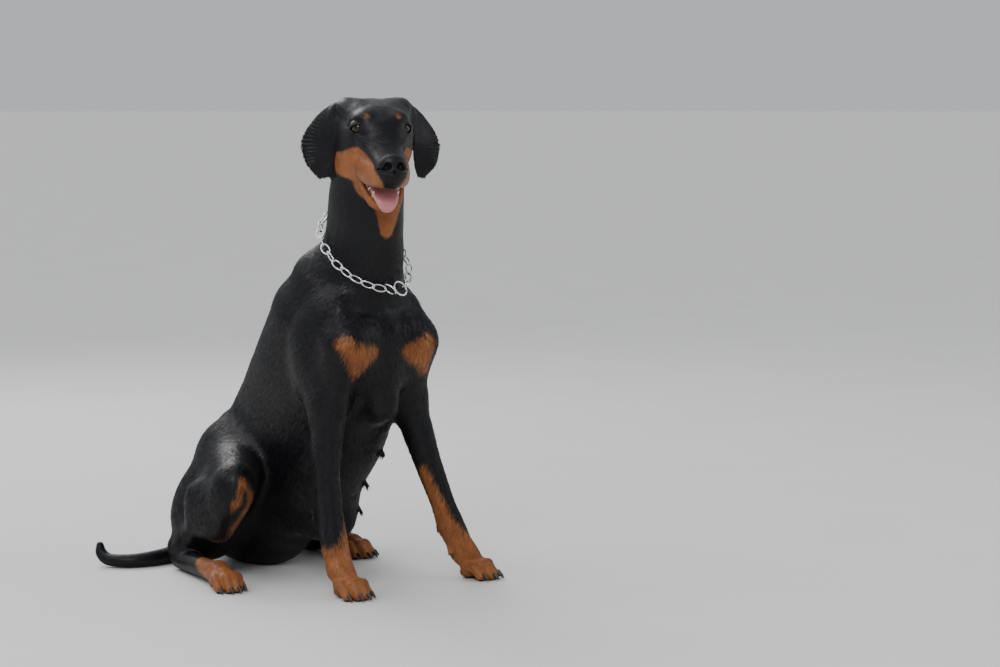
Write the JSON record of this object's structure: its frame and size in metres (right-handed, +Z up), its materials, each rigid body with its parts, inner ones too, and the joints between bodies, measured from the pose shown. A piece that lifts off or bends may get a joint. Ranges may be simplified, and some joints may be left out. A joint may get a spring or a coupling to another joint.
{
  "type": "doberman pinscher",
  "caption": "Sitting black and rust short-haired dog at life size, undocked, with drop ears, an open mouth and a steel chain collar.",
  "frame": {"origin": "middle of the footprint's bounding box, on the floor", "axes": "+Z up, the dog's chest faces -Y, the dog's left side is towards +X"},
  "size_m": [0.496, 0.6688, 0.8903],
  "materials": {
    "black_coat": "short glossy black hair",
    "tan_coat": "short rust-red hair",
    "eye": "wet dark brown",
    "tongue": "moist pink",
    "tooth": "ivory",
    "steel": "bright polished wire"
  },
  "bodies": {
    "root": {"collar_link_01": "steel", "collar_link_02": "steel", "collar_link_03": "steel", "collar_link_04": "steel", "collar_link_05": "steel", "collar_link_06": "steel", "collar_link_07": "steel", "collar_link_08": "steel", "collar_link_09": "steel", "collar_link_10": "steel", "collar_link_11": "steel", "collar_link_12": "steel", "collar_link_13": "steel", "collar_link_14": "steel", "collar_link_15": "steel", "collar_link_16": "steel", "collar_link_17": "steel", "collar_link_18": "steel", "collar_link_19": "steel", "collar_link_20": "steel", "collar_link_21": "steel", "collar_link_22": "steel", "collar_link_23": "steel", "collar_link_24": "steel", "collar_ring_1": "steel", "collar_ring_2": "steel", "ear_left": "black_coat", "ear_right": "black_coat", "eye_left": "eye", "eye_right": "eye", "foreleg_left": "black_coat", "foreleg_right": "black_coat", "forepaw_left": "tan_coat", "forepaw_right": "tan_coat", "head": "black_coat", "hindleg_left": "black_coat", "hindleg_right": "black_coat", "hindpaw_left": "tan_coat", "hindpaw_right": "tan_coat", "jaw": "tan_coat", "neck": "black_coat", "tail": "black_coat", "teeth_lower": "tooth", "teeth_upper": "tooth", "tongue": "tongue", "torso": "black_coat"}
  },
  "joints": []
}
